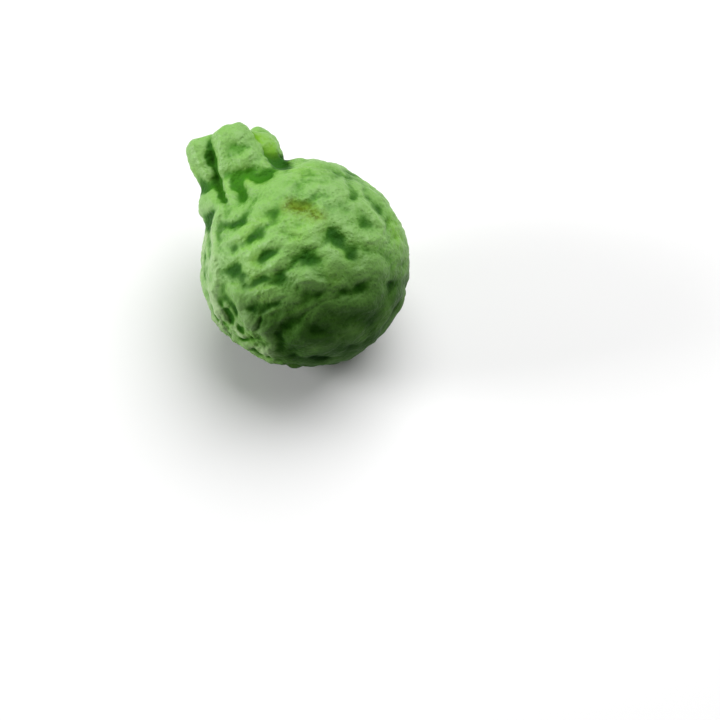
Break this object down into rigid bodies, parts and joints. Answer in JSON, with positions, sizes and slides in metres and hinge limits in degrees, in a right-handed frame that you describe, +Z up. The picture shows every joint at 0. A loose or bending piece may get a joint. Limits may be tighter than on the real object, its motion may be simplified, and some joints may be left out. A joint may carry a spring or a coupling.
{
  "type": "makrut lime",
  "caption": "Whole knobbly green citrus fruit with a round, deeply wrinkled body and a lobed neck at its stem end, lying on a small flat spot of its rind.",
  "frame": {"origin": "middle of the flat spot that the fruit lies on, under the middle of its round body", "axes": "+Z up; +Y the level way that the neck points, which also rises 24 degrees; +X to the right of an eye that looks along +Y"},
  "size_m": [0.055, 0.0694, 0.0534],
  "materials": {
    "rind": "waxy, pebbled with oil glands, mid green and darker in the hollows"
  },
  "bodies": {
    "root": {"fruit": "rind"}
  },
  "joints": []
}
